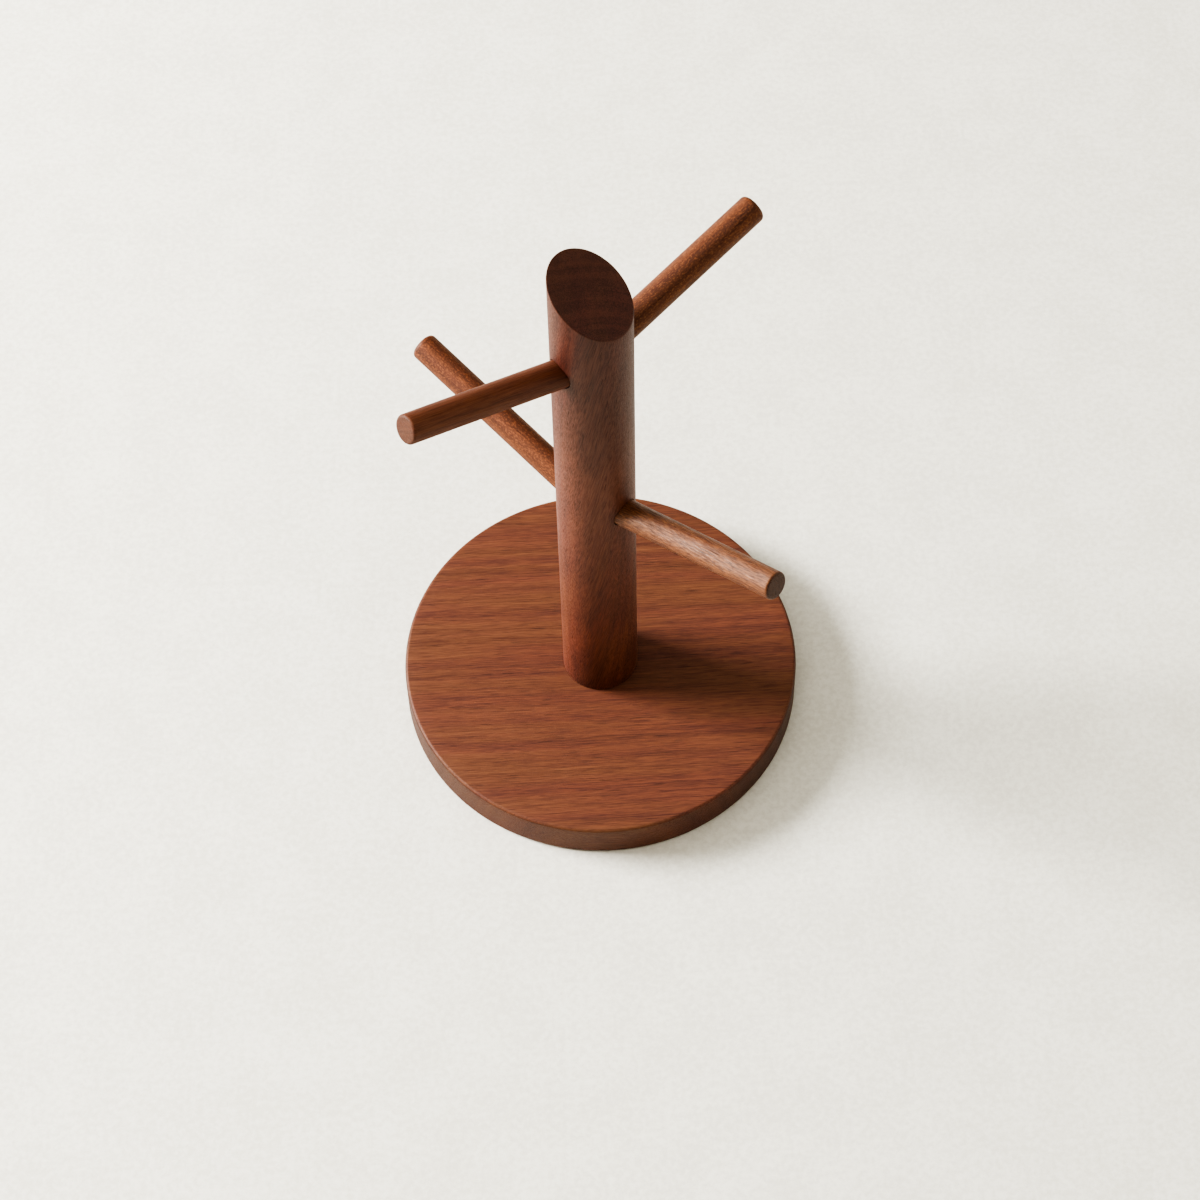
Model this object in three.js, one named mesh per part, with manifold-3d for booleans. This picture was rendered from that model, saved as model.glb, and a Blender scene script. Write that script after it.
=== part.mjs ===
// A small tree for hanging cups, rings or keys: a round base, an upright post whose top is cut
// off on a slant, and four pegs glued into the post. Millimetres, +Z up. The origin is the
// middle of the face that the tree stands on, and -Y is its front.
import * as THREE from 'three';
import { mergeVertices } from 'three/addons/utils/BufferGeometryUtils.js';
import Module from 'manifold-3d';

const wasm = await Module();
wasm.setup();

// ---- driving dimensions ----

const BASE_DIAMETER = 90;
const BASE_THICKNESS = 9.7;
const BASE_TOP_ROUND = 0.8;
const BASE_BOTTOM_ROUND = 0.6;

const PAD_DIAMETER = 82;
const PAD_THICKNESS = 1.2;
const PAD_STANDS_OUT = 0.3;
const PAD_EDGE_ROUND = 0.25;
const PAD_RIM_GAP = 0.5;

const POST_DIAMETER = 17;
const POST_AXIS_HEIGHT = 149;
const POST_SLANT_ANGLE = 35.5;
const POST_SLANT_UPHILL = 150;

const PEG_DIAMETER = 6.2;
const PEG_END_ROUND = 0.7;
const PEG_INNER_CHAMFER = 0.5;
const PEG_INNER_END = 2.6;

// Each peg: the height at which its axis crosses the post's, the direction that it points in,
// counter-clockwise from +X, its rise above the level, and its reach from the post's axis.
const PEGS = [
  { name: 'peg_upper_front', height: 126.6, direction: 215.5, rise: 19, reach: 47.2 },
  { name: 'peg_upper_rear', height: 128.2, direction: 41.7, rise: 11, reach: 46 },
  { name: 'peg_lower_front', height: 77.1, direction: 318.3, rise: 16.5, reach: 50.8 },
  { name: 'peg_lower_rear', height: 73.6, direction: 135, rise: 11, reach: 53 },
];

const SCREW_HEAD_DIAMETER = 8;
const SCREW_SHANK_DIAMETER = 4;
const SCREW_CORE_DIAMETER = 2.8;
const SCREW_LENGTH = 30;
const SCREW_PLAIN_LENGTH = 8;
const SCREW_PITCH = 1.8;
const SCREW_TIP_LENGTH = 4;
const SCREW_RECESS_WIDTH = 1;
const SCREW_RECESS_SPAN = 4.4;
const SCREW_RECESS_DEPTH = 1.5;

// Clearance kept between a piece and the hole that it sits in.
const CLEARANCE = 0.3;

const BASE_SEGMENTS = 96;
const POST_SEGMENTS = 72;
const PEG_SEGMENTS = 36;
const SCREW_SEGMENTS = 20;
const ROUND_STEPS = 4;

const BASE_RADIUS = BASE_DIAMETER / 2;
const BASE_UNDERSIDE = PAD_STANDS_OUT;
const BASE_TOP = BASE_UNDERSIDE + BASE_THICKNESS;
const POST_RADIUS = POST_DIAMETER / 2;
const PEG_RADIUS = PEG_DIAMETER / 2;
const SCREW_HOLE_RADIUS = SCREW_SHANK_DIAMETER / 2 + CLEARANCE;
const SCREW_HEAD_FACE = PAD_THICKNESS + CLEARANCE;

// ---- helpers ----

const radians = THREE.MathUtils.degToRad;

// Points of a quarter circle about a centre, from one angle to another, in degrees.
function arc(centreX, centreY, radius, fromAngle, toAngle) {
  return Array.from({ length: ROUND_STEPS + 1 }, (_, i) => {
    const angle = radians(fromAngle + ((toAngle - fromAngle) * i) / ROUND_STEPS);
    return [centreX + radius * Math.cos(angle), centreY + radius * Math.sin(angle)];
  });
}

// A solid turned about the Z axis from an outline of [radius, height] points.
function turned(outline, segments) {
  const points = outline.map(([radius, height]) => new THREE.Vector2(radius, height));
  return new THREE.LatheGeometry(points, segments).rotateX(Math.PI / 2);
}

// A closed geometry, moved by a matrix, as a solid that can be joined and cut.
function asSolid(geometry, matrix = new THREE.Matrix4()) {
  const copy = geometry.clone().applyMatrix4(matrix);
  copy.deleteAttribute('normal');
  copy.deleteAttribute('uv');
  const merged = mergeVertices(copy, 1e-5);
  const corners = merged.index.array;
  const kept = [];
  for (let i = 0; i < corners.length; i += 3) {
    const [a, b, c] = corners.slice(i, i + 3);
    if (a !== b && b !== c && c !== a) kept.push(a, b, c);
  }
  return new wasm.Manifold(new wasm.Mesh({
    numProp: 3,
    vertProperties: new Float32Array(merged.attributes.position.array),
    triVerts: new Uint32Array(kept),
  }));
}

function asGeometry(solid) {
  const { vertProperties, triVerts } = solid.getMesh();
  const geometry = new THREE.BufferGeometry();
  geometry.setAttribute('position', new THREE.BufferAttribute(vertProperties, 3));
  geometry.setIndex(new THREE.BufferAttribute(triVerts, 1));
  geometry.computeVertexNormals();
  return geometry;
}

// An upright rod between two heights, as a geometry.
function rod(radius, fromHeight, toHeight, segments) {
  const length = toHeight - fromHeight;
  return new THREE.CylinderGeometry(radius, radius, length, segments)
    .rotateX(Math.PI / 2)
    .translate(0, 0, fromHeight + length / 2);
}

// The frame of a peg: its Z axis runs out along the peg from the middle of the post.
function pegMatrix(peg) {
  const turn = new THREE.Matrix4().makeRotationZ(radians(peg.direction));
  const tilt = new THREE.Matrix4().makeRotationY(radians(90 - peg.rise));
  return new THREE.Matrix4().makeTranslation(0, 0, peg.height).multiply(turn).multiply(tilt);
}

function wood(color) {
  return new THREE.MeshStandardMaterial({ color, roughness: 0.45, metalness: 0 });
}

function named(name, geometry, material) {
  const mesh = new THREE.Mesh(geometry, material);
  mesh.name = name;
  return mesh;
}

// ---- pieces ----

// The round base. Its outline goes round the screw's countersunk hole, the shallow recess that
// holds the pad, the lower edge, the rim and the upper edge.
function baseDisc() {
  const headRadius = SCREW_HEAD_DIAMETER / 2 + CLEARANCE;
  const recessCeiling = SCREW_HEAD_FACE - CLEARANCE;
  const recessRadius = PAD_DIAMETER / 2 + PAD_RIM_GAP;
  const countersinkTop = SCREW_HEAD_FACE + headRadius - SCREW_HOLE_RADIUS;
  const lower = BASE_BOTTOM_ROUND;
  const upper = BASE_TOP_ROUND;
  const outline = [
    [SCREW_HOLE_RADIUS, BASE_TOP],
    [SCREW_HOLE_RADIUS, countersinkTop],
    [headRadius, SCREW_HEAD_FACE],
    [headRadius, recessCeiling],
    [recessRadius, recessCeiling],
    [recessRadius, BASE_UNDERSIDE],
    ...arc(BASE_RADIUS - lower, BASE_UNDERSIDE + lower, lower, -90, 0),
    ...arc(BASE_RADIUS - upper, BASE_TOP - upper, upper, 0, 90),
    [SCREW_HOLE_RADIUS, BASE_TOP],
  ];
  return named('base_disc', turned(outline, BASE_SEGMENTS), wood(0x8a4f33));
}

// The felt disc glued into the recess under the base. It hides the screw.
function feltPad() {
  const radius = PAD_DIAMETER / 2;
  const edge = PAD_EDGE_ROUND;
  const outline = [
    [0, 0],
    ...arc(radius - edge, edge, edge, -90, 0),
    [radius, PAD_THICKNESS],
    [0, PAD_THICKNESS],
  ];
  const felt = new THREE.MeshStandardMaterial({ color: 0x3a302b, roughness: 0.95, metalness: 0 });
  return named('felt_pad', turned(outline, BASE_SEGMENTS), felt);
}

// A box that covers everything above the slanted cut through the top of the post.
function aboveSlant() {
  const size = 4 * POST_DIAMETER;
  const turn = new THREE.Matrix4().makeRotationZ(radians(POST_SLANT_UPHILL));
  const tilt = new THREE.Matrix4().makeRotationY(-radians(POST_SLANT_ANGLE));
  const place = new THREE.Matrix4().makeTranslation(0, 0, POST_AXIS_HEIGHT);
  const box = new THREE.BoxGeometry(size, size, size).translate(0, 0, size / 2);
  return asSolid(box, place.multiply(turn).multiply(tilt));
}

// The post stands on the base. It has a slanted top, a blind hole for each peg, and a pilot
// hole for the screw in its foot.
function post() {
  let solid = asSolid(rod(POST_RADIUS, BASE_TOP, POST_AXIS_HEIGHT + POST_DIAMETER, POST_SEGMENTS));
  solid = solid.subtract(aboveSlant());
  for (const peg of PEGS) {
    const hole = rod(PEG_RADIUS + CLEARANCE, PEG_INNER_END - CLEARANCE, POST_DIAMETER, PEG_SEGMENTS);
    solid = solid.subtract(asSolid(hole, pegMatrix(peg)));
  }
  const pilotTop = SCREW_HEAD_FACE + SCREW_LENGTH + CLEARANCE;
  const pilot = rod(SCREW_HOLE_RADIUS, BASE_TOP - CLEARANCE, pilotTop, SCREW_SEGMENTS);
  solid = solid.subtract(asSolid(pilot));
  return named('post', asGeometry(solid), wood(0x7d4a32));
}

// A peg is a plain dowel: chamfered where it enters the post, rounded at its free end.
function pegDowel(peg) {
  const round = PEG_END_ROUND;
  const outline = [
    [0, PEG_INNER_END],
    [PEG_RADIUS - PEG_INNER_CHAMFER, PEG_INNER_END],
    [PEG_RADIUS, PEG_INNER_END + PEG_INNER_CHAMFER],
    ...arc(PEG_RADIUS - round, peg.reach - round, round, 0, 90),
    [0, peg.reach],
  ];
  const mesh = named(peg.name, turned(outline, PEG_SEGMENTS), wood(0x9c5b38));
  mesh.applyMatrix4(pegMatrix(peg));
  return mesh;
}

// The outline of the screw: countersunk head, plain shank, thread ridges and a pointed tip.
function screwOutline() {
  const face = SCREW_HEAD_FACE;
  const head = SCREW_HEAD_DIAMETER / 2;
  const shank = SCREW_SHANK_DIAMETER / 2;
  const core = SCREW_CORE_DIAMETER / 2;
  const threadStart = face + SCREW_PLAIN_LENGTH;
  const tipStart = face + SCREW_LENGTH - SCREW_TIP_LENGTH;
  const ridges = Math.floor((tipStart - threadStart) / SCREW_PITCH);
  const outline = [
    [0, face],
    [head, face],
    [head, face + 0.3],
    [shank, face + 0.3 + head - shank],
    [shank, threadStart],
  ];
  for (let i = 0; i < ridges; i += 1) {
    const foot = threadStart + i * SCREW_PITCH;
    outline.push([core, foot + 0.3 * SCREW_PITCH]);
    outline.push([core, foot + 0.6 * SCREW_PITCH]);
    outline.push([shank, foot + 0.9 * SCREW_PITCH]);
    outline.push([shank, foot + SCREW_PITCH]);
  }
  outline.push([core, tipStart + 0.3 * SCREW_PITCH]);
  outline.push([0, face + SCREW_LENGTH]);
  return outline;
}

// The wood screw that holds the post on the base, driven from below.
function baseScrew() {
  const depth = 2 * SCREW_RECESS_DEPTH;
  const arm = new THREE.BoxGeometry(SCREW_RECESS_SPAN, SCREW_RECESS_WIDTH, depth);
  const place = new THREE.Matrix4().makeTranslation(0, 0, SCREW_HEAD_FACE);
  const crossed = place.clone().multiply(new THREE.Matrix4().makeRotationZ(Math.PI / 2));
  const solid = asSolid(turned(screwOutline(), SCREW_SEGMENTS))
    .subtract(asSolid(arm, place))
    .subtract(asSolid(arm, crossed));
  const steel = new THREE.MeshStandardMaterial({ color: 0xb9a15c, roughness: 0.35, metalness: 1 });
  return named('base_screw', asGeometry(solid), steel);
}

const group = new THREE.Group();
group.add(baseDisc(), feltPad(), post(), baseScrew());
for (const peg of PEGS) group.add(pegDowel(peg));

export default group;
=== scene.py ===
"""The looks of a small walnut peg tree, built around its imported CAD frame.

Lengths are in millimetres and angles in degrees, unless a comment says otherwise. MM turns
millimetres into Blender's metres. -Y is the front of the tree and +Z is up.
"""
import math

import bmesh
import bpy
from mathutils import Matrix, Vector


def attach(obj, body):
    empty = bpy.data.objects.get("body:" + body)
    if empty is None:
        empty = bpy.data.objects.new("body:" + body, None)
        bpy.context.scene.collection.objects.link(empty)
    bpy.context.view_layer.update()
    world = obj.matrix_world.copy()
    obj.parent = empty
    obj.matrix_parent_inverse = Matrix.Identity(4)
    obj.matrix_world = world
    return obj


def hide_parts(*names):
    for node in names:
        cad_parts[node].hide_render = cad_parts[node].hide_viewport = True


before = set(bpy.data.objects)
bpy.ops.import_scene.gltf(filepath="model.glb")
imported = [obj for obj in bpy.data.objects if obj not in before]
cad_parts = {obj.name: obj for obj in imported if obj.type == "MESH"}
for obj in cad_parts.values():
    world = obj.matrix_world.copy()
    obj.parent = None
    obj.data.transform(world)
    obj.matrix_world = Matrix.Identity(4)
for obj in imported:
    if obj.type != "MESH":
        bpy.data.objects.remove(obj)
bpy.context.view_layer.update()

MM = 0.001

# ---- driving dimensions, as in the CAD part ----

BASE_RADIUS = 45
BASE_UNDERSIDE = 0.3
BASE_TOP = 10
BASE_TOP_ROUND = 0.8
BASE_BOTTOM_ROUND = 0.6
PAD_RADIUS = 41
PAD_THICKNESS = 1.2
PAD_RIM_GAP = 0.5
PAD_EDGE_ROUND = 0.25
POST_RADIUS = 8.5
POST_AXIS_HEIGHT = 149
POST_SLANT_ANGLE = 35.5
POST_SLANT_UPHILL = 150
PEG_RADIUS = 3.1
PEG_INNER_END = 2.6
PEG_INNER_CHAMFER = 0.5
PEGS = {
    "peg_upper_front": {"height": 126.6, "direction": 215.5, "rise": 19, "reach": 47.2,
                        "end_round": 0.6, "light": (126, 74, 48),
                        "grain": {"pores": 0.35, "streaks": 0.28}},
    "peg_upper_rear": {"height": 128.2, "direction": 41.7, "rise": 11, "reach": 46,
                       "end_round": 1.0, "light": (134, 84, 49),
                       "grain": {"pores": 0.35, "speckle_and_sheen": 0.6, "streaks": 0.2}},
    # The lower front peg's pale flecks are also painted sheen, for its highlight.
    "peg_lower_front": {"height": 77.1, "direction": 318.3, "rise": 16.5, "reach": 50.8,
                        "end_round": 0.6, "light": (111, 70, 43),
                        "grain": {"pores": 1.1, "speckle_and_sheen": 1.15, "grit": (3.6, 0.55),
                                  "streaks": 0.8, "roughness": 0.5, "gloss_streaks": 0.3,
                                  "gloss": 0.42, "relief": 2.5, "end_tint": 0.95,
                                  "end_colour": (0.4, 0.36, 0.46)}},
    "peg_lower_rear": {"height": 73.6, "direction": 135, "rise": 11, "reach": 53,
                       "end_round": 1.0, "light": (134, 80, 48),
                       "grain": {"pores": 0.35, "speckle_and_sheen": 0.7, "streaks": 0.2}},
}
SCREW_FACE = 1.5
SCREW_HEAD_RADIUS = 4
SCREW_SHANK_RADIUS = 2
SCREW_CORE_RADIUS = 1.4
SCREW_LENGTH = 30
SCREW_PLAIN_LENGTH = 8
SCREW_PITCH = 1.8
SCREW_TIP_LENGTH = 4
SCREW_CLEARANCE = 0.3

# ---- details that only the looks have ----

# Edges sharper than these angles stay crisp.
CREASE = 35
METAL_CREASE = 30
# Gap left between a peg and the hole that it is glued into.
GLUE_GAP = 0.2
# How far from the post's axis a peg hole's cutter ends, and how far under the post the pilot
# hole's cutter starts.
PEG_CUTTER_END = 14
PILOT_OVERSHOOT = 2
# Rounding of the post's edges, at the slanted cut and at the foot.
POST_CUT_EDGE = 0.3
POST_FOOT_EDGE = 0.25
SCREW_HEAD_EDGE = 0.3
SCREW_HEAD_ROWS = (0.8, 1.4, 2.0, 2.3, 4, 6)
THREAD_ROWS_PER_TURN = 12
# Half the width of the thread's ridge, as a share of the pitch.
THREAD_HALF_WIDTH = 0.28
# Reach and half width of the screw's cross recess, at its mouth and at its bottom.
RECESS_MOUTH = (2.3, 0.58)
RECESS_BOTTOM = (1.1, 0.42)
RECESS_DEPTH = 1.6
RECESS_OVERSHOOT = 0.4
RECESS_POINT = 0.3

# ---- wood ----

# How often its detail repeats in a millimetre, across the fibres and along them.
SLOW_DRIFT = (0.03, 0.01)
QUICK_DRIFT = (0.3, 0.09)
BAND = (0.13, 0.012)
STREAK = (1.9, 0.045)
HAIR = (5.5, 0.16)
PORE = (2.1, 0.12)
FINE_PORE = (3.4, 0.24)
FLECK = (3.2, 1.9)
RIPPLE = (0.16, 0.16, 0.09)
# Sideways width of the quick drift.
QUICK_WANDER = 0.35
# Shares of each detail in the mix of tones.
RING_SHARE = 0.22
STREAK_SHARE = 0.14
FINE_PORE_SHARE = 0.55
# Factors that multiply red, green and blue.
RUDDY = (1.0, 0.84, 0.92)
# Lightens the pale flecks, which on the lower front peg are also painted sheen.
PALE_FLECK_AND_SHEEN = (1.75, 1.75, 1.75)
PORE_DARK = (0.4, 0.4, 0.4)
# Darkens a piece towards one end of its length.
LENGTHWISE_DARKENING = (0.68, 0.63, 0.66)
# Darkens the sideways-facing rim.
RIM_DARKENING = (0.7, 0.58, 0.45)
OIL_SHEEN = (1.0, 0.96, 0.88)
# Depth of the relief, in metres.
WOOD_RELIEF = 0.00008


# ---- mesh helpers ----

def arc(centre_x, centre_y, radius, start, end, steps=8):
    """Points along a circle's arc, from one angle to another."""
    angles = [math.radians(start + (end - start) * i / steps) for i in range(steps + 1)]
    return [(centre_x + radius * math.cos(a), centre_y + radius * math.sin(a)) for a in angles]


def spaced(start, end, count):
    """Points that split the line from start to end into count equal steps, without its ends."""
    (r0, z0), (r1, z1) = start, end
    return [(r0 + (r1 - r0) * i / count, z0 + (z1 - z0) * i / count) for i in range(1, count)]


def around(segments):
    """Points evenly spaced round a circle with a radius of one."""
    angles = [2 * math.pi * i / segments for i in range(segments)]
    return [(math.cos(a), math.sin(a)) for a in angles]


def skin(rings, closed=False):
    """A mesh over rings of points. A ring of one point is a pole."""
    bm = bmesh.new()
    verts = [[bm.verts.new(Vector(p) * MM) for p in ring] for ring in rings]
    pairs = list(zip(verts, verts[1:]))
    if closed:
        pairs.append((verts[-1], verts[0]))
    for low, high in pairs:
        count = max(len(low), len(high))
        for i in range(count):
            j = (i + 1) % count
            if len(low) == 1:
                corners = [low[0], high[j], high[i]]
            elif len(high) == 1:
                corners = [low[i], low[j], high[0]]
            else:
                corners = [low[i], low[j], high[j], high[i]]
            bm.faces.new(corners)
    bmesh.ops.recalc_face_normals(bm, faces=bm.faces)
    return bm


def turned(outline, segments, closed=False):
    """A body turned about the Z axis from an outline of (radius, height) points."""
    on_axis = 1e-6
    rings = []
    for radius, height in outline:
        if radius < on_axis:
            rings.append([(0, 0, height)])
        else:
            rings.append([(radius * x, radius * y, height) for x, y in around(segments)])
    return skin(rings, closed)


def piece(name, bm, material, node, crease=CREASE):
    """An object shaded smooth between its crisp edges, in the place of a CAD node."""
    mesh = bpy.data.meshes.new(name)
    bm.to_mesh(mesh)
    bm.free()
    mesh.shade_smooth()
    mesh.set_sharp_from_angle(angle=math.radians(crease))
    obj = bpy.data.objects.new(name, mesh)
    bpy.context.scene.collection.objects.link(obj)
    mesh.materials.append(material)
    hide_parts(node)
    return obj


def weld(mesh, distance=0.0005):
    """Joins points that lie on each other, which leaves no faces without an area."""
    bm = bmesh.new()
    bm.from_mesh(mesh)
    bmesh.ops.remove_doubles(bm, verts=bm.verts, dist=distance * MM)
    bmesh.ops.dissolve_degenerate(bm, dist=distance * MM, edges=bm.edges)
    bm.to_mesh(mesh)
    bm.free()


def cut(obj, bm, matrix=Matrix.Identity(4)):
    """Cuts a closed body out of an object's mesh, for good."""
    tool_mesh = bpy.data.meshes.new("cutter")
    bm.to_mesh(tool_mesh)
    bm.free()
    tool = bpy.data.objects.new("cutter", tool_mesh)
    bpy.context.scene.collection.objects.link(tool)
    tool.matrix_world = matrix
    modifier = obj.modifiers.new("cut", "BOOLEAN")
    modifier.operation = "DIFFERENCE"
    modifier.solver = "EXACT"
    modifier.object = tool
    bpy.context.view_layer.update()
    evaluated = obj.evaluated_get(bpy.context.evaluated_depsgraph_get())
    result = bpy.data.meshes.new_from_object(evaluated)
    obj.modifiers.remove(modifier)
    weld(result)
    old = obj.data
    obj.data = result
    result.name = old.name
    bpy.data.meshes.remove(old)
    bpy.data.objects.remove(tool)
    bpy.data.meshes.remove(tool_mesh)


def peg_matrix(peg):
    """The frame of a peg: its Z axis runs out along the peg from the middle of the post."""
    place = Matrix.Translation((0, 0, peg["height"] * MM))
    turn = Matrix.Rotation(math.radians(peg["direction"]), 4, "Z")
    tilt = Matrix.Rotation(math.radians(90 - peg["rise"]), 4, "Y")
    return place @ turn @ tilt


# ---- node helpers ----

class Nodes:
    """Builds a material's node tree with short calls, most of which return an output."""

    def __init__(self, name):
        self.material = bpy.data.materials.new(name)
        self.material.use_nodes = True
        self.tree = self.material.node_tree
        self.shader = self.tree.nodes["Principled BSDF"]
        self.coordinates = self.node("ShaderNodeTexCoord")

    def set(self, socket, value):
        """Links a socket to another node's output, or sets its value."""
        if isinstance(value, bpy.types.NodeSocket):
            self.tree.links.new(value, socket)
        else:
            socket.default_value = value

    def surface(self, inputs):
        """Sets the shader's inputs and returns the material."""
        for key, value in inputs.items():
            self.set(self.shader.inputs[key], value)
        return self.material

    def node(self, kind, inputs=(), **settings):
        """Adds a node and returns the whole node."""
        made = self.tree.nodes.new(kind)
        for key, value in settings.items():
            setattr(made, key, value)
        for key, value in dict(inputs).items():
            self.set(made.inputs[key], value)
        return made

    def math(self, operation, *values):
        made = self.node("ShaderNodeMath", enumerate(values), operation=operation)
        return made.outputs[0]

    def vector(self, operation, *values):
        made = self.node("ShaderNodeVectorMath", enumerate(values), operation=operation)
        return made.outputs["Value" if operation == "LENGTH" else "Vector"]

    def noise(self, vector, scale=1.0, detail=2.0, roughness=0.5, distortion=0.0, output="Fac"):
        inputs = {"Vector": vector, "Scale": scale, "Detail": detail, "Roughness": roughness,
                  "Distortion": distortion}
        return self.node("ShaderNodeTexNoise", inputs).outputs[output]

    def range(self, value, low, high, to_low=0.0, to_high=1.0, smooth=True):
        inputs = {"Value": value, "From Min": low, "From Max": high, "To Min": to_low,
                  "To Max": to_high}
        kind = "SMOOTHSTEP" if smooth else "LINEAR"
        return self.node("ShaderNodeMapRange", inputs, interpolation_type=kind).outputs["Result"]

    def mix(self, factor, a, b, blend="MIX"):
        made = self.node("ShaderNodeMix", data_type="RGBA", blend_type=blend)
        self.set(made.inputs["Factor"], factor)
        self.set(made.inputs["A"], a)
        self.set(made.inputs["B"], b)
        return made.outputs["Result"]

    def multiplied(self, colour, factors):
        return self.mix(1.0, colour, (*factors, 1.0), "MULTIPLY")

    def bump(self, height, strength, distance):
        inputs = {"Strength": strength, "Distance": distance, "Height": height}
        return self.node("ShaderNodeBump", inputs).outputs["Normal"]


def srgb(red, green, blue):
    """A colour from 0 to 255 display values, as the linear colour that shaders use."""
    def linear(c):
        return ((c / 255 + 0.055) / 1.055) ** 2.4 if c > 10 else c / 3294.6
    return (linear(red), linear(green), linear(blue), 1.0)


def scaled(colour, factors):
    """A colour with its red, green and blue multiplied, each up to 1."""
    return (*(min(1, part * factor) for part, factor in zip(colour, factors)), 1.0)


# ---- materials ----

def walnut(name, colours, offset, pith, ring, pores, end_tint, end_colour, grain_axis="Z",
           lean=0.0, wander=3.0, fineness=1.0, streaks=0.5, figure=0.0, speckle_and_sheen=0.0,
           grit=FLECK, deepen=None, rim_tint=0.0, roughness=0.54, gloss_streaks=0.16,
           gloss=0.32, relief=1.0):
    """Oiled walnut. Everything is a solid texture, so end grain shows where the wood is cut
    across. Inside, lengths are in millimetres and Z runs along the grain.

    colours: the light, the dark and the purplish heartwood tone.
    offset, pith, ring: the piece's place in the wood, the way from there to the middle of the
        growth rings, and the scale of the rings.
    grain_axis, lean, wander: where the fibres run, their lean, and how far they stray.
    fineness: how fine all the detail is across the fibres.
    pores, streaks, figure, speckle, grit: strength of the dark pores, the fibre streaks, the
        slow ripple and the flecks, and how often the flecks repeat.
    end_tint, end_colour, rim_tint: how far end grain takes its own tint, that tint, and how
        far a turned rim darkens.
    deepen: heights along the grain over which the wood darkens, most at the higher one.
    roughness, gloss_streaks, gloss, relief: the finish.
    """
    light, dark, heart = colours
    n = Nodes(name)
    lean = math.radians(lean)
    quarter = math.radians(90)
    turn = (quarter, lean - quarter, 0) if grain_axis == "X" else (0, -lean, 0)
    aligned = n.node("ShaderNodeMapping", {
        "Vector": n.coordinates.outputs["Object"],
        "Location": offset,
        "Rotation": turn,
        "Scale": (1000, 1000, 1000),
    }).outputs["Vector"]

    def stretched(vector, frequency):
        across, along = frequency
        return n.vector("MULTIPLY", vector, (across * fineness, across * fineness, along))

    def drift(frequency, width):
        """A sideways shift of the fibres that changes slowly along the piece."""
        field = n.noise(stretched(aligned, frequency), output="Color")
        centred = n.vector("SUBTRACT", field, (0.5, 0.5, 0.5))
        return n.vector("MULTIPLY", centred, (width, width, 0))

    shift = n.vector("ADD", drift(SLOW_DRIFT, wander), drift(QUICK_DRIFT, QUICK_WANDER))
    grain = n.vector("ADD", aligned, shift)

    # Growth rings round a pith that lies outside the piece.
    flat = n.vector("MULTIPLY", n.vector("ADD", grain, (*pith, 0)), (1, 1, 0))
    rings = n.math("MULTIPLY", n.vector("LENGTH", flat), 1 / ring)
    ring_spot = n.node("ShaderNodeCombineXYZ", {"X": rings}).outputs[0]
    ring_tone = n.range(n.noise(ring_spot, roughness=0.6), 0.3, 0.7)

    def fibre_noise(frequency, detail, roughness):
        """Noise that is drawn out along the fibres."""
        return n.noise(stretched(grain, frequency), detail=detail, roughness=roughness)

    # Colour bands and fibre streaks, from broad to hair-fine.
    bands = n.range(fibre_noise(BAND, 3.0, 0.55), 0.35, 0.68)
    medium = n.range(fibre_noise(STREAK, 3.0, 0.6), 0.28, 0.72)
    hair = n.range(fibre_noise(HAIR, 4.0, 0.7), 0.3, 0.7)

    def dashes(frequency, width, softness):
        """Long thin cells that show as dashes along the grain and as dots across it."""
        cells = n.node("ShaderNodeTexVoronoi", {
            "Vector": stretched(grain, frequency), "Scale": 1.0, "Randomness": 1.0,
        }, feature="F1")
        chance = n.node("ShaderNodeSeparateColor", {"Color": cells.outputs["Color"]})
        size = n.range(chance.outputs["Red"], 0.1, 1.0, 0.0, width, smooth=False)
        depth = n.math("SUBTRACT", size, cells.outputs["Distance"])
        return n.range(depth, 0.0, softness)

    # Pores are weaker in the paler part of each ring.
    early = n.range(ring_tone, 0.0, 1.0, 1.0, 0.45, smooth=False)
    pore = n.math("MULTIPLY", dashes(PORE, 0.28, 0.09), early)
    fine_pore = dashes(FINE_PORE, 0.38, 0.14)

    tone = n.math("MULTIPLY", ring_tone, RING_SHARE)
    tone = n.math("MULTIPLY_ADD", medium, STREAK_SHARE, tone)
    tone = n.math("MULTIPLY_ADD", hair, streaks, tone)
    if figure:
        ripple = n.range(n.noise(n.vector("MULTIPLY", aligned, RIPPLE)), 0.3, 0.7)
        tone = n.math("MULTIPLY_ADD", ripple, figure, tone)
    tone = n.range(tone, 0.12, 0.8, smooth=False)
    dark_wood = n.mix(bands, heart, dark)
    light_wood = n.mix(bands, scaled(light, RUDDY), light)
    colour = n.mix(tone, dark_wood, light_wood)

    if speckle_and_sheen:
        # Rays and short vessel ends, seen where the rod is cut on the quarter, as pale and dark
        # flecks.
        # On the lower front peg the pale flecks, drawn out along the grain, are also painted
        # sheen:
        # they stand in for the broken pale streaks of its highlight.
        flecks = fibre_noise(grit, 2.0, 0.75)
        pale = n.range(flecks, 0.5, 0.68, 0.0, 0.55 * speckle_and_sheen)
        colour = n.mix(pale, colour, scaled(light, PALE_FLECK_AND_SHEEN))
        dull = n.range(flecks, 0.5, 0.34, 0.0, 0.9 * speckle_and_sheen)
        colour = n.mix(dull, colour, dark)
    darkness = n.math("MULTIPLY", pore, pores)
    darkness = n.math("MULTIPLY_ADD", fine_pore, FINE_PORE_SHARE * pores, darkness)
    darkness = n.math("MINIMUM", darkness, 0.9)
    colour = n.mix(darkness, colour, scaled(dark, PORE_DARK))

    if deepen:
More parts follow.
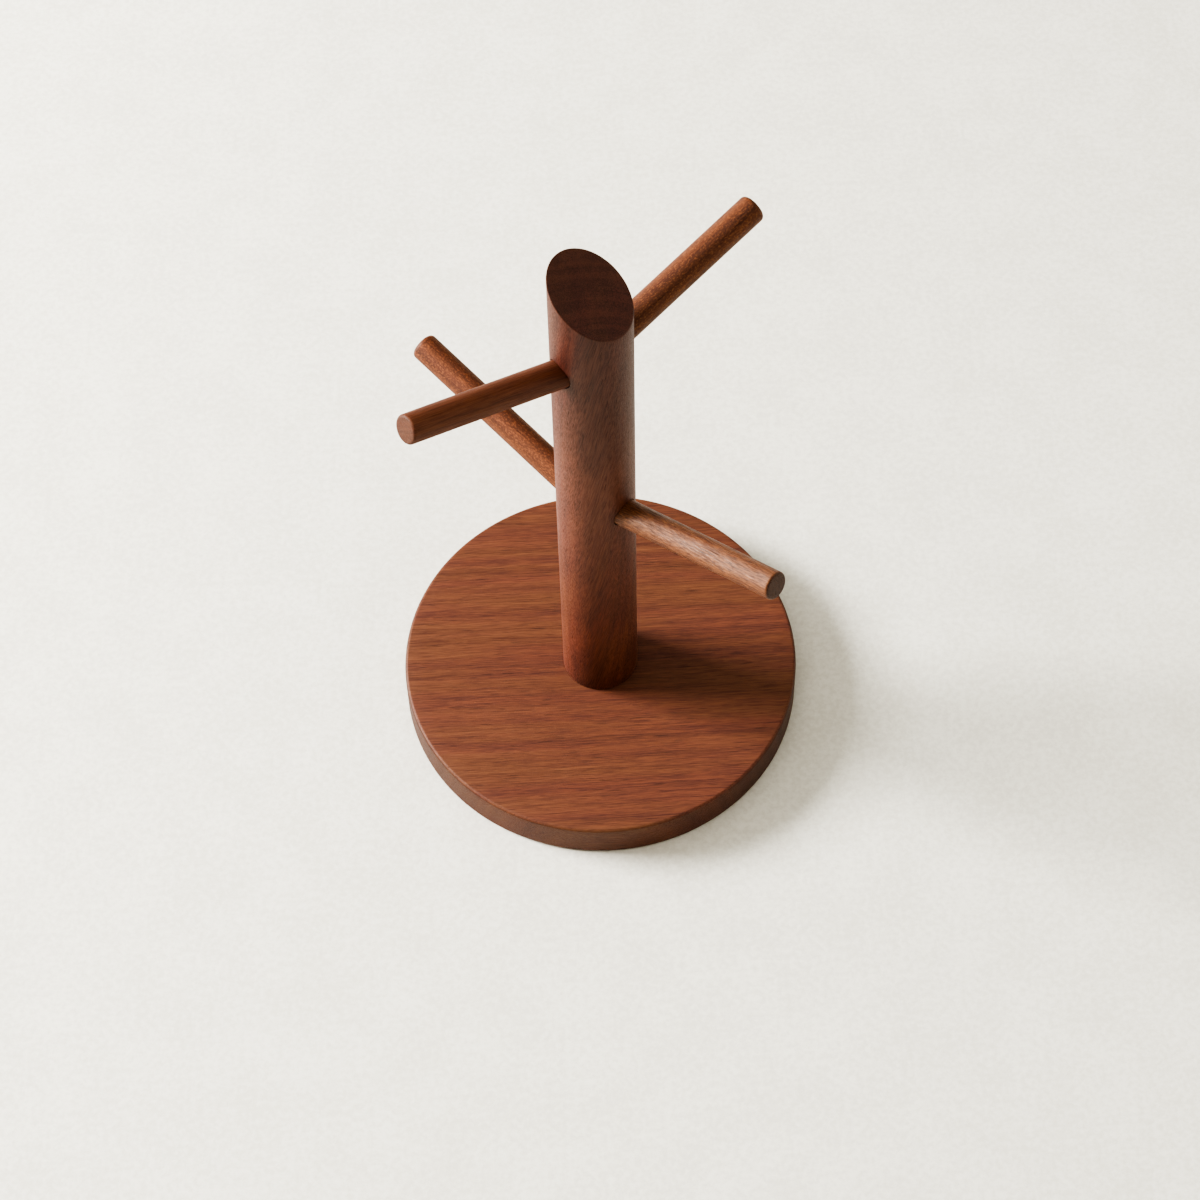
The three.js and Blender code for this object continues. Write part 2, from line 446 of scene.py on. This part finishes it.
        # Darker towards one end of the piece, between two heights along the grain.
        along = n.node("ShaderNodeSeparateXYZ", {"Vector": grain}).outputs["Z"]
        deeper = n.multiplied(colour, LENGTHWISE_DARKENING)
        colour = n.mix(n.range(along, *deepen), colour, deeper)

    # Wood cut across its fibres soaks up more oil and takes a tint of its own.
    facing = n.node("ShaderNodeSeparateXYZ", {"Vector": n.coordinates.outputs["Normal"]})
    across = n.math("ABSOLUTE", facing.outputs[grain_axis])
    end_share = n.math("MULTIPLY", n.range(across, 0.35, 0.95), end_tint)
    colour = n.mix(end_share, colour, n.multiplied(colour, end_colour))

    if rim_tint:
        # Darker and warmer where the surface faces sideways, as on the turned rim.
        level = n.math("ABSOLUTE", facing.outputs["Z"])
        rim_share = n.range(level, 0.3, 0.8, rim_tint, 0.0)
        colour = n.mix(rim_share, colour, n.multiplied(colour, RIM_DARKENING))

    rough = n.math("MULTIPLY_ADD", hair, -gloss_streaks, roughness + gloss_streaks / 2)
    rough = n.math("MULTIPLY_ADD", pore, 0.2, rough)
    height = n.math("MULTIPLY", pore, -1.0)
    height = n.math("MULTIPLY_ADD", fine_pore, -0.4, height)
    height = n.math("MULTIPLY_ADD", hair, 0.35, height)
    return n.surface({
        "Base Color": colour, "Roughness": rough, "Specular IOR Level": gloss,
        "Specular Tint": (*OIL_SHEEN, 1.0), "Normal": n.bump(height, 0.6, WOOD_RELIEF * relief),
    })


def felt(name):
    """Pressed wool felt: matt, mottled, with fine crossing fibres."""
    n = Nodes(name)
    place = n.coordinates.outputs["Object"]
    fuzz = n.noise(place, scale=2600.0, detail=6.0, roughness=0.75, distortion=1.5)
    mottle = n.noise(place, scale=160.0, detail=3.0)
    tone = n.math("MULTIPLY_ADD", mottle, 0.4, n.math("MULTIPLY", fuzz, 0.6))
    colour = n.mix(n.range(tone, 0.3, 0.7), srgb(38, 32, 28), srgb(74, 63, 55))
    return n.surface({
        "Base Color": colour, "Roughness": 0.95, "Sheen Weight": 0.35,
        "Specular IOR Level": 0.2, "Normal": n.bump(fuzz, 0.8, 0.00015),
    })


def plated_steel(name):
    """Yellow zinc plating: faint cloudy colour and fine drawing marks."""
    n = Nodes(name)
    place = n.coordinates.outputs["Object"]
    cloud = n.noise(place, scale=420.0, detail=4.0, distortion=0.8)
    marks = n.noise(n.vector("MULTIPLY", place, (9000, 9000, 900)))
    colour = n.mix(n.range(cloud, 0.3, 0.7), srgb(176, 150, 92), srgb(206, 190, 140))
    return n.surface({
        "Base Color": colour, "Metallic": 1.0, "Roughness": n.range(marks, 0.2, 0.8, 0.26, 0.42),
        "Normal": n.bump(marks, 0.2, 0.00002),
    })


def paper_floor(name):
    """A pale matt surface with a very faint mottle."""
    n = Nodes(name)
    place = n.coordinates.outputs["Object"]
    mottle = n.noise(place, scale=70.0, detail=5.0, roughness=0.6)
    speck = n.noise(place, scale=700.0, detail=3.0, roughness=0.65)
    tone = n.math("MULTIPLY_ADD", speck, 0.65, n.math("MULTIPLY", mottle, 0.35))
    colour = n.mix(n.range(tone, 0.36, 0.64), srgb(222, 220, 210), srgb(236, 235, 226))
    return n.surface({
        "Base Color": colour, "Roughness": 0.9, "Specular IOR Level": 0.2,
        "Normal": n.bump(speck, 0.3, 0.0002),
    })


# ---- pieces ----

def make_base():
    """The turned board, with its screw hole, countersink and pad recess."""
    hole = SCREW_SHANK_RADIUS + SCREW_CLEARANCE
    head = SCREW_HEAD_RADIUS + SCREW_CLEARANCE
    recess = PAD_RADIUS + PAD_RIM_GAP
    lower, upper = BASE_BOTTOM_ROUND, BASE_TOP_ROUND
    rim_low = arc(BASE_RADIUS - lower, BASE_UNDERSIDE + lower, lower, -90, 0)
    rim_high = arc(BASE_RADIUS - upper, BASE_TOP - upper, upper, 0, 90)
    outline = [(hole, BASE_TOP), (hole, SCREW_FACE + head - hole), (head, SCREW_FACE),
               (head, PAD_THICKNESS)]
    outline += spaced((head, PAD_THICKNESS), (recess, PAD_THICKNESS), count=8)
    outline += [(recess, PAD_THICKNESS), (recess, BASE_UNDERSIDE)]
    outline += rim_low + spaced(rim_low[-1], rim_high[0], count=6) + rim_high
    outline += spaced(rim_high[-1], (hole, BASE_TOP), count=12)
    tones = (srgb(120, 77, 53), srgb(78, 42, 31), srgb(70, 36, 32))
    material = walnut("walnut_board", tones, grain_axis="X", offset=(3, 11, 7), lean=1.5,
                      wander=2.0, pith=(95, 20), ring=2.6, pores=0.8, end_tint=0.85,
                      end_colour=(0.56, 0.58, 0.62), rim_tint=0.85, fineness=1.35)
    return piece("base_board", turned(outline, segments=288, closed=True), material,
                 "base_disc")


def slant_height(x, y):
    """Height of the slanted cut above a point of the post's section."""
    uphill = math.radians(POST_SLANT_UPHILL)
    along = x * math.cos(uphill) + y * math.sin(uphill)
    return POST_AXIS_HEIGHT + along * math.tan(math.radians(POST_SLANT_ANGLE))


def post_rings(segments=288, rows=56, edge_rows=5):
    """Rings from the middle of the foot, up the side, over a softened edge and across the cut."""
    edge, foot_edge = POST_CUT_EDGE, POST_FOOT_EDGE
    unit = around(segments)

    def level(radius, height):
        return [(radius * x, radius * y, height) for x, y in unit]

    def on_cut(radius):
        return [(radius * x, radius * y, slant_height(radius * x, radius * y)) for x, y in unit]

    rings = [[(0, 0, BASE_TOP)]]
    rings += [level(radius, BASE_TOP) for radius in (3.5, 6)]
    low = BASE_TOP + foot_edge
    foot = arc(POST_RADIUS - foot_edge, low, foot_edge, -90, 0, steps=4)
    rings += [level(radius, height) for radius, height in foot]
    for row in range(1, rows + 1):
        ring = []
        for x, y in unit:
            top = slant_height(POST_RADIUS * x, POST_RADIUS * y) - edge
            ring.append((POST_RADIUS * x, POST_RADIUS * y, low + (top - low) * row / rows))
        rings.append(ring)
    for row in range(1, edge_rows):
        t = row / edge_rows
        ring = []
        for x, y in unit:
            side = Vector((POST_RADIUS * x, POST_RADIUS * y, 0))
            side.z = slant_height(side.x, side.y) - edge
            corner = Vector((side.x, side.y, side.z + edge))
            inner = Vector(((POST_RADIUS - edge) * x, (POST_RADIUS - edge) * y, 0))
            inner.z = slant_height(inner.x, inner.y)
            ring.append(tuple(side * (1 - t) ** 2 + corner * 2 * t * (1 - t) + inner * t * t))
        rings.append(ring)
    for radius in (POST_RADIUS - edge, 6.6, 5, 3.4, 1.7):
        rings.append(on_cut(radius))
    rings.append([(0, 0, POST_AXIS_HEIGHT)])
    return rings


def make_post():
    """The round rod with its slanted top, four blind peg holes and a pilot hole."""
    tones = (srgb(112, 65, 45), srgb(69, 34, 24), srgb(59, 29, 24))
    material = walnut("walnut_post", tones, offset=(4, -9, 15), lean=12.0, pith=(14, 46),
                      ring=1.9, pores=0.5, streaks=0.46, end_tint=0.8,
                      end_colour=(1.1, 1.36, 1.75), figure=0.12, deepen=(98, 140))
    post = piece("post_rod", skin(post_rings()), material, "post")
    hole_radius, hole_end = PEG_RADIUS + GLUE_GAP, PEG_INNER_END - GLUE_GAP
    hole = [(0, hole_end), (hole_radius, hole_end), (hole_radius, PEG_CUTTER_END),
            (0, PEG_CUTTER_END)]
    for peg in PEGS.values():
        cut(post, turned(hole, segments=96), peg_matrix(peg))
    pilot_radius = SCREW_SHANK_RADIUS + SCREW_CLEARANCE
    pilot_foot = BASE_TOP - PILOT_OVERSHOOT
    pilot_top = SCREW_FACE + SCREW_LENGTH + SCREW_CLEARANCE
    pilot = [(0, pilot_foot), (pilot_radius, pilot_foot), (pilot_radius, pilot_top),
             (0, pilot_top)]
    cut(post, turned(pilot, segments=48))
    post.data.set_sharp_from_angle(angle=math.radians(CREASE))
    return post


def make_peg(name, peg, index):
    """A dowel with a chamfered inner end and a rounded outer end, cut from its own wood."""
    end = peg["end_round"]
    outline = [(0, PEG_INNER_END), (PEG_RADIUS - PEG_INNER_CHAMFER, PEG_INNER_END)]
    start = (PEG_RADIUS, PEG_INNER_END + PEG_INNER_CHAMFER)
    tip = arc(PEG_RADIUS - end, peg["reach"] - end, end, 0, 90)
    outline += [start] + spaced(start, tip[0], count=24) + tip
    outline += spaced(tip[-1], (0, peg["reach"]), count=4) + [(0, peg["reach"])]
    tones = (srgb(*peg["light"]), srgb(78, 42, 27), srgb(68, 37, 28))
    place = (7 * index + 2, 5 - 4 * index, 13 * index)
    look = {"end_tint": 0.7, "end_colour": (0.55, 0.58, 0.68), "roughness": 0.58, **peg["grain"]}
    material = walnut("walnut_" + name, tones, offset=place, pith=(22 + 6 * index, 14),
                      ring=2.2, **look)
    dowel = turned(outline, segments=96)
    obj = piece(name + "_dowel", dowel, material, name)
    obj.matrix_world = peg_matrix(peg)
    return obj


def make_pad():
    """The felt disc under the base."""
    edge = PAD_EDGE_ROUND
    rim = arc(PAD_RADIUS - edge, edge, edge, -90, 0, steps=5)
    corner, middle = (PAD_RADIUS, PAD_THICKNESS), (0, PAD_THICKNESS)
    outline = [(0, 0)] + spaced((0, 0), rim[0], count=10) + rim
    outline += [corner] + spaced(corner, middle, count=10) + [middle]
    disc = turned(outline, segments=192)
    return piece("felt_disc", disc, felt("felt_brown"), "felt_pad")


def screw_radius(height, turn_share):
    """The screw's radius at a height above its face, at a share of a turn round it."""
    head_end = SCREW_HEAD_EDGE + SCREW_HEAD_RADIUS - SCREW_SHANK_RADIUS
    if height < SCREW_HEAD_EDGE:
        return SCREW_HEAD_RADIUS
    if height < head_end:
        return SCREW_HEAD_RADIUS - (height - SCREW_HEAD_EDGE)
    if height < SCREW_PLAIN_LENGTH:
        return SCREW_SHANK_RADIUS
    taper = min(1, (SCREW_LENGTH - height) / SCREW_TIP_LENGTH)
    phase = (height / SCREW_PITCH - turn_share) % 1
    ridge = max(0, 1 - abs(phase - 0.5) / THREAD_HALF_WIDTH)
    run_in = min(1, (height - SCREW_PLAIN_LENGTH) / SCREW_PITCH)
    thread = (SCREW_SHANK_RADIUS - SCREW_CORE_RADIUS) * ridge * run_in * taper
    return SCREW_CORE_RADIUS * taper + thread


def cross_outline(reach, half_width, height):
    """The twelve corners of a cross with equal arms, level at a height."""
    arm = [(reach, -half_width), (reach, half_width), (half_width, half_width)]
    corners = []
    for quarter in range(4):
        for x, y in arm:
            for _ in range(quarter):
                x, y = -y, x
            corners.append((x, y, height))
    return corners


def make_screw(segments=64):
    """A countersunk wood screw that points up, with its thread and a cross recess."""
    step = SCREW_PITCH / THREAD_ROWS_PER_TURN
    just_below_thread = SCREW_PLAIN_LENGTH - 0.01
    rows = [0, SCREW_HEAD_EDGE, *SCREW_HEAD_ROWS, just_below_thread]
    height = SCREW_PLAIN_LENGTH
    while height < SCREW_LENGTH - step / 2:
        rows.append(height)
        height += step
    rings = [[(0, 0, SCREW_FACE)]]
    for row in rows:
        ring = []
        for i, (x, y) in enumerate(around(segments)):
            radius = screw_radius(row, i / segments)
            ring.append((radius * x, radius * y, SCREW_FACE + row))
        rings.append(ring)
    rings.append([(0, 0, SCREW_FACE + SCREW_LENGTH)])
    screw = piece("wood_screw", skin(rings), plated_steel("zinc_plated_steel"),
                  "base_screw", METAL_CREASE)
    mouth = SCREW_FACE - RECESS_OVERSHOOT
    bottom = SCREW_FACE + RECESS_DEPTH
    recess = [[(0, 0, mouth)], cross_outline(*RECESS_MOUTH, mouth),
              cross_outline(*RECESS_BOTTOM, bottom), [(0, 0, bottom + RECESS_POINT)]]
    cut(screw, skin(recess))
    screw.data.set_sharp_from_angle(angle=math.radians(METAL_CREASE))
    return screw


# ---- floor, camera and light ----


def make_floor():
    """A round pale floor that curves up into a wall far behind everything, on all sides."""
    floor_radius, sweep, wall_top = 2600, 900, 2800
    first_ring, ring_growth = 150, 1.2
    outline = [(0, 0)] + [(first_ring * ring_growth ** i, 0) for i in range(16)]
    outline += arc(floor_radius, sweep, sweep, -90, 0, steps=24)
    outline += [(floor_radius + sweep, wall_top)]
    bm = turned(outline, segments=96)
    bmesh.ops.reverse_faces(bm, faces=bm.faces)
    mesh = bpy.data.meshes.new("floor")
    bm.to_mesh(mesh)
    bm.free()
    mesh.shade_smooth()
    floor = bpy.data.objects.new("floor", mesh)
    bpy.context.scene.collection.objects.link(floor)
    mesh.materials.append(paper_floor("pale_floor"))


def make_camera():
    """A long lens that looks down on the tree from the front."""
    camera = bpy.data.cameras.new("camera")
    camera.sensor_width = 36
    camera.lens = 98.72
    camera.clip_start = 10 * MM
    obj = bpy.data.objects.new("camera", camera)
    bpy.context.scene.collection.objects.link(obj)
    eye = Vector((0, -385.5, 663.0)) * MM
    target = Vector((0.3, 21.6, 0.3)) * MM
    look = (target - eye).to_track_quat("-Z", "Y").to_matrix().to_4x4()
    roll_angle = -1.58
    roll = Matrix.Rotation(math.radians(roll_angle), 4, "Z")
    obj.matrix_world = Matrix.Translation(eye) @ look @ roll
    bpy.context.scene.camera = obj


def area_light(name, azimuth, elevation, distance, width, height, power, colour,
               aim=(0, 0, 0.05)):
    """A soft panel that faces the tree, or another aim, from a direction. Lengths in metres."""
    light = bpy.data.lights.new(name, "AREA")
    light.shape = "RECTANGLE"
    light.size = width
    light.size_y = height
    light.energy = power
    light.color = colour
    obj = bpy.data.objects.new(name, light)
    bpy.context.scene.collection.objects.link(obj)
    a, e = math.radians(azimuth), math.radians(elevation)
    towards = Vector((math.cos(a) * math.cos(e), math.sin(a) * math.cos(e), math.sin(e)))
    obj.location = Vector(aim) + towards * distance
    obj.rotation_euler = (-towards).to_track_quat("-Z", "Y").to_euler()


def make_light():
    """The panels, a dim warm room and the tone curve."""
    area_light("window", azimuth=166.5, elevation=25.5, distance=1.5, width=0.58, height=0.5,
               power=66, colour=(1.0, 0.98, 0.955))
    area_light("ceiling", azimuth=200, elevation=83, distance=1.6, width=1.9, height=1.9,
               power=19, colour=(1.0, 0.935, 0.82))
    area_light("reflector", azimuth=2, elevation=14, distance=2.3, width=1.2, height=1.05,
               power=9, colour=(1.0, 0.93, 0.84))
    # Evens out the part of the backdrop that lies behind the window.
    area_light("backdrop", azimuth=-13.5, elevation=50, distance=1.6, width=2.4, height=1.2,
               power=40, colour=(1.0, 0.97, 0.93), aim=(-2.4, 0.58, 0.2))
    world = bpy.data.worlds.new("room")
    bpy.context.scene.world = world
    world.use_nodes = True
    background = world.node_tree.nodes["Background"]
    background.inputs["Color"].default_value = (1.0, 0.9, 0.76, 1.0)
    background.inputs["Strength"].default_value = 0.025
    view = bpy.context.scene.view_settings
    view.view_transform = "AgX"
    view.look = "AgX - High Contrast"


make_camera()
make_light()
make_floor()
made = [make_base(), make_post(), make_pad(), make_screw()]
made += [make_peg(name, peg, i) for i, (name, peg) in enumerate(PEGS.items())]
for obj in made:
    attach(obj, "root")

bpy.context.view_layer.update()
